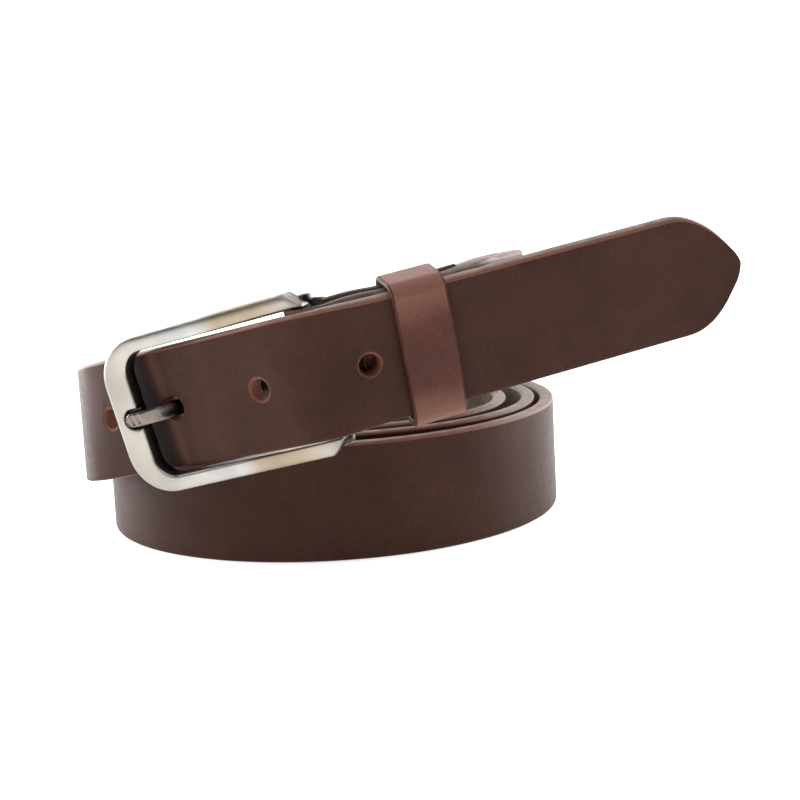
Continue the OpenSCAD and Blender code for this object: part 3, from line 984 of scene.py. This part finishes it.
def markMetalLight(obj):
    # share of the way along the arms, for the painted reflections; and painted shade on the wall inside the
    # frame, the ears, the notch and the back
    b = buckleValues
    corner = (-b["length"] + b["bar"] + b["innerCorner"], b["height"] / 2 - b["arm"] - b["innerCorner"])
    near, far, wide = b["notchShade"]
    values = []
    for v in obj.data.vertices:
        x, y, z = heelAxes.T @ (np.array(v.co) * 1000 - coilAt - heelAt)
        a, c = x - corner[0], abs(z) - corner[1]
        beyond = (math.hypot(a, c) if a < 0 and c > 0 else max(-a, c)) - b["innerCorner"]
        high = b["back"] + b["thick"]
        # painted shade on the inner wall of the frame, darker towards the back; full painted shade on the
        # ears, the notch and the back face
        shadeShare = min(1.0, max(0.0, (0.16 - beyond) / 0.12)) * min(1.0, max(0.0, (high + y - 0.4) / 3.0))
        ear = math.hypot(x, y) < b["earRadius"] + 0.05 and abs(z) > b["height"] / 2 - b["arm"] - 0.05
        notch = near < x < far and abs(z) < wide and -y < high - 0.35
        if ear or notch or -y < b["back"] - 0.1:
            shadeShare = 1.0
        values.extend((min(1.0, max(0.0, (x + b["length"]) / (b["length"] + b["armEnd"]))), shadeShare, 0.0))
    mark = obj.data.attributes.new("nickelLightShade", "FLOAT_VECTOR", "POINT")
    mark.data.foreach_set("vector", values)


def joinInto(target, others):
    bm = bmesh.new()
    bm.from_mesh(target.data)
    for other in others:
        bm.from_mesh(other.data)
        bpy.data.objects.remove(other)
    bmesh.ops.recalc_face_normals(bm, faces=bm.faces)
    bm.to_mesh(target.data)
    bm.free()
    target.data.polygons.foreach_set("use_smooth", [True] * len(target.data.polygons))
    target.data.set_sharp_from_angle(angle=math.radians(38))


prongValues = {"width": 3.8, "thick": 2.6, "tip": -52.2, "eye": 3.2, "level": 5.0}


def prongSpine():
    # side line of the shank: along, outward
    return [(-1.5, -1.6), (-6, -2.4), (-20, -2.9), (-36.2, -3.1), (-38.3, -1.9), (-40.4, 3.4), (-42.3, 5.0),
            (-47, 5.0)]


def makeProng():
    half, h = prongValues["width"] / 2, prongValues["thick"] / 2
    line = np.array(prongSpine())
    dense = []
    for a, b in zip(line, line[1:]):
        steps = max(2, int(np.linalg.norm(b - a) / 0.8))
        dense += [a + (b - a) * k / steps for k in range(steps)]
    dense = np.array(dense)
    for _ in range(3):
        dense[1:-1] = (dense[:-2] + 2 * dense[1:-1] + dense[2:]) / 4
    tip, level = prongValues["tip"], prongValues["level"]
    turns = np.linspace(0.12, math.pi / 2 - 0.06, 12)
    flat = [np.array([x, level]) for x in np.linspace(-47.1, tip + half, 12)]
    nose = [np.array([tip + half - half * math.sin(a), level]) for a in turns]
    path = list(dense) + flat + nose
    verts = []
    for i, p in enumerate(path):
        along = unit(path[min(i + 1, len(path) - 1)] - path[max(i - 1, 0)])
        out = np.array([along[1], -along[0]])
        if out[1] < 0:
            out = -out
        w = half
        k = i - len(dense) - len(flat)
        if k >= 0:
            w = max(0.25, half * math.cos(turns[k]))
        rise = 0.0
        if p[0] < -41.5 and w > 1.2:
            rise = 0.3 * (0.5 - 0.5 * math.cos((p[0] + 41.5) * 2 * math.pi / 1.7))
        top = h - 0.22 + rise
        section = [(-w, -h + 0.5), (-w, h - 0.7), (-w * 0.9, h - 0.25), (-w * 0.68, h - 0.02),
                   (-w * 0.5, top), (0, top + 0.02), (w * 0.5, top), (w * 0.68, h - 0.02),
                   (w * 0.9, h - 0.25), (w, h - 0.7), (w, -h + 0.5), (w * 0.8, -h + 0.1), (0, -h),
                   (-w * 0.8, -h + 0.1)]
        for q, n in section:
            at = p + out * n
            verts.append(heelPoint(at[0], at[1], q))
    faces = sweptFaces(len(path), len(section))
    prong = meshObject("prongRod", placedPoints(verts), faces, [darkGunmetal], sharp=40)
    # eye round the hinge bar
    eyeVerts, eyeFaces = [], []
    outer, bore, w = prongValues["eye"], beltValues["pinRadius"] + 0.05, half
    for k in range(40):
        a = 2 * math.pi * k / 40
        for r, z in ((bore, -w + 0.2), (bore + 0.2, -w), (outer - 0.4, -w), (outer, -w + 0.4),
                     (outer, w - 0.4), (outer - 0.4, w), (bore + 0.2, w), (bore, w - 0.2)):
            eyeVerts.append(heelPoint(r * math.cos(a), r * math.sin(a), z))
    for k in range(40):
        for j in range(8):
            n, m = (j + 1) % 8, (k + 1) % 40
            eyeFaces.append((k * 8 + j, k * 8 + n, m * 8 + n, m * 8 + j))
    eye = meshObject("prongEye", placedPoints(eyeVerts), eyeFaces, [darkGunmetal], sharp=40)
    joinInto(prong, [eye])
    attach(prong, "prong")
    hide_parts("prong")


makeBuckle()
makeProng()
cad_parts["heel_bar"].data.materials.clear()
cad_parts["heel_bar"].data.materials.append(drawnSteel)
print("buckle made")


keeperValues = {
    "width": 13.0,
    "thick": 1.6,
    "gap": 1.0,  # above and below the strap
    "slack": 0.6,  # in front and behind
    "drop": 0.5,
    "bow": 0.85,
    "corner": 2.6,
    "legs": (-3.5, 3.5),  # places of the two staples
    "wireRadius": 0.42,
}


def keeperLoopPath():
    # closed middle line of the loop in the section across the strap: across, outward
    k = keeperValues
    front, back = thick / 2 + k["slack"], flapOut - 0.1 - foldThick / 2 - k["slack"]
    t, r = k["thick"] / 2, k["corner"]
    top, high, low = halfWidth + k["gap"] + t, front + t, back - t
    pts = []
    for cx, cy, a0 in ((top - r, high - r, 0), (-top + r, high - r, 90),
                       (-top + r, low + r, 180), (top - r, low + r, 270)):
        for j in range(9):
            a = math.radians(a0 + 90 * j / 8)
            pts.append((cx + r * math.cos(a), cy + r * math.sin(a)))
    dense = []
    for a, b in zip(pts, pts[1:] + pts[:1]):
        a, b = np.array(a), np.array(b)
        steps = max(1, int(np.linalg.norm(b - a) / 1.5))
        dense += [a + (b - a) * j / steps for j in range(steps)]
    for p in dense:
        if p[1] > 0:
            p[1] += k["bow"] * max(0.0, 1 - (p[0] / top) ** 2) - 0.45
    return dense


def makeKeeper():
    k = keeperValues
    path = keeperLoopPath()
    w, t = k["width"] / 2, k["thick"] / 2
    section = [(w - 0.55, t), (w - 0.2, t - 0.12), (w, t - 0.5), (w, -t + 0.4), (w - 0.3, -t), (0, -t),
               (-w + 0.3, -t), (-w, -t + 0.4), (-w, t - 0.5), (-w + 0.2, t - 0.12), (-w + 0.55, t),
               (-w * 0.6, t), (-w * 0.2, t), (w * 0.2, t), (w * 0.6, t)]
    kinds = [1, 1, 1, 1, 2, 2, 1, 1, 1, 1, 0, 0, 0, 0, 0]
    verts, faces, slots = [], [], []
    count = len(path)
    for i, p in enumerate(path):
        along = unit(path[(i + 1) % count] - path[i - 1])
        out = np.array([along[1], -along[0]])
        if out @ (p - np.array([0, (thick / 2 + flapOut) / 2])) < 0:
            out = -out
        for x, n in section:
            q = p + out * n
            verts.append(tailPoint(beltValues["keeperAt"] + x, q[1], q[0] - k["drop"]))
    size = len(section)
    for i in range(count):
        m = (i + 1) % count
        for j in range(size):
            n = (j + 1) % size
            faces.append((i * size + j, i * size + n, m * size + n, m * size + j))
            slots.append(kinds[j])
    materials = [keeperGrain, keeperRim, fleshLeather]
    keeper = meshObject("keeperLoop", placedPoints(verts), faces, materials, slots, sharp=40)
    fixNormals(keeper)
    zoneMark = keeper.data.attributes.new("leatherLightShade", "FLOAT_VECTOR", "POINT")
    loopLightShade = []
    for p in path:
        # painted highlight towards the two edges of the strap, where the loop bends, and darker in the
        # middle
        f = abs(p[0]) / (halfWidth + 2)
        loopLightShade += [0.75 * max(0.0, f - 0.45) / 0.55, 0.55 * max(0.0, 1 - f / 0.5), 0.3] * size
    zoneMark.data.foreach_set("vector", loopLightShade)
    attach(keeper, "keeper")
    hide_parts("keeper_loop")


def makeStaples():
    back = flapOut - 0.1 - foldThick / 2 - keeperValues["slack"] - keeperValues["thick"] - 0.3
    verts, faces = [], []
    for x in keeperValues["legs"]:
        at = beltValues["keeperAt"] + x
        leg = ((1.6, 4), (0.5, 4), (0.08, 3.75), (0, 3.2))
        line = [(at, back + lift, -z) for lift, z in leg] + [(at, back, 0)]
        line += [(at, back + lift, z) for lift, z in leg[::-1]]
        wireVerts, wireFaces = tube([tailPoint(*p) for p in line], keeperValues["wireRadius"], 12)
        faces += [tuple(i + len(verts) for i in face) for face in wireFaces]
        verts += wireVerts
    staples = meshObject("keeperStaples", placedPoints(verts), faces, [drawnSteel], sharp=50)
    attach(staples, "keeper")
    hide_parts("keeper_staple")


def makeSeam(name, node, at, front, back):
    # sewn on both faces: each stitch dips into its holes at both ends
    verts, faces = [], []
    pitch, count, r = stitchValues["pitch"], stitchValues["count"], stitchValues["radius"]
    for i in range(-count, count):
        for face, sign in ((front, 1), (back, -1)):
            line = []
            for f in np.linspace(0, 1, 13):
                lift = 0.1 * math.sin(math.pi * f) - 0.5 * (2 * f - 1) ** 6
                sway = 0.12 * math.sin(math.pi * 2 * f)
                line.append(tailPoint(at + sway, face + sign * lift, (i + f) * pitch))
            stitchVerts, stitchFaces = tube(line, r, 10)
            faces += [tuple(k + len(verts) for k in loop) for loop in stitchFaces]
            verts += stitchVerts
    seam = meshObject(name, placedPoints(verts), faces, [waxedThread], sharp=60)
    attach(seam, "strap")
    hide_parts(node)


makeKeeper()
makeStaples()
makeSeam("frontSeam", "front_seam", beltValues["frontSeam"],
         strandOut - 0.4 + 1.15, flapOut - 0.8 - foldThick / 2)
makeSeam("rearSeam", "rear_seam", beltValues["rearSeam"],
         strandOut - 0.3 + thick / 2 - 0.2, flapOut - 0.7 - foldThick / 2)
print("keeper and seams made")


floorValues = {"front": -1.6, "bendAt": 0.6, "bend": 0.35, "height": 1.6, "half": 2.2}


def makeFloor():
    # a paper sweep: flat under the belt, bent up behind it
    f = floorValues
    turns = np.linspace(0.1, math.pi / 2, 12)
    profile = [(f["front"], 0.0), (f["bendAt"], 0.0)]
    profile += [(f["bendAt"] + f["bend"] * math.sin(a), f["bend"] * (1 - math.cos(a))) for a in turns]
    profile += [(f["bendAt"] + f["bend"], f["height"])]
    verts = [(x, y, z) for x in (-f["half"], f["half"]) for y, z in profile]
    n = len(profile)
    faces = [(i, n + i, n + i + 1, i + 1) for i in range(n - 1)]
    floor = meshObject("studioSweep", verts, faces, [makeFloorMaterial()], sharp=60)


makeFloor()
makeCamera()
makeLights()
